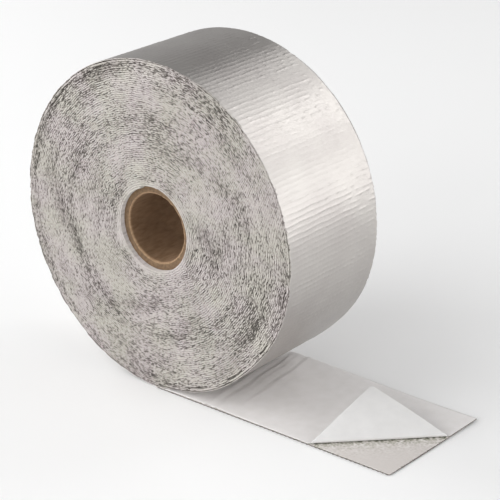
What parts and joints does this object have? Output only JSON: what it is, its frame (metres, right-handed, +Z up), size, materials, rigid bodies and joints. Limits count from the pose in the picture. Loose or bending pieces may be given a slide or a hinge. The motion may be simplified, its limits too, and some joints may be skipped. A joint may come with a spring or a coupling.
{
  "type": "roll of aluminium foil heat shield tape",
  "caption": "Roll of foil-faced woven glass heat shield tape on a board core, loose end laid out, one corner of the release liner peeled back.",
  "frame": {"origin": "on the floor under the roll's axis, at the middle of the tape's width, on the flat underside of the loose end", "axes": "+X is the way the loose end runs away from the roll, +Y is the roll's axis, away from the end with the peeled corner, +Z is up"},
  "size_m": [0.1665, 0.05, 0.1236],
  "materials": {
    "foil_tape": "woven glass cloth faced with satin aluminium foil, ribbed by the weave, off-white at its cut edges",
    "kraft_board": "spirally wound kraft board, matt brown",
    "liner_paper": "siliconed release paper, white, slight sheen"
  },
  "bodies": {
    "root": {"wound_tape": "foil_tape", "cardboard_core": "kraft_board", "release_liner": "liner_paper"}
  },
  "joints": []
}
